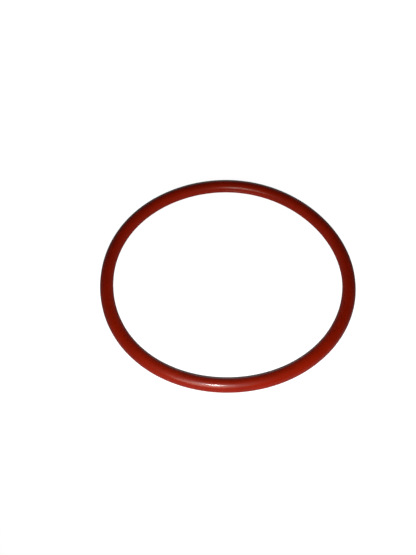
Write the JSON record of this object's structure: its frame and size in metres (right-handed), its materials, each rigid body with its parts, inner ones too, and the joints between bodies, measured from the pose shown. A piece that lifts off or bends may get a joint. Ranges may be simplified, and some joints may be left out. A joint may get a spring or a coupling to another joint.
{
  "type": "silicone o-ring",
  "caption": "Round-section sealing ring of red silicone rubber, lying flat, for a groove round a spigot, in a bore or under a cover.",
  "frame": {"origin": "the ring's centre, on its axis and halfway up its section", "axes": "+Z along the ring's axis, up from the surface that it lies on; X and Y are any two directions across it"},
  "size_m": [0.0702, 0.0702, 0.0036],
  "materials": {
    "silicone": "satin moulded silicone rubber, iron-oxide red, faintly glossy"
  },
  "bodies": {
    "root": {"o_ring": "silicone"}
  },
  "joints": []
}
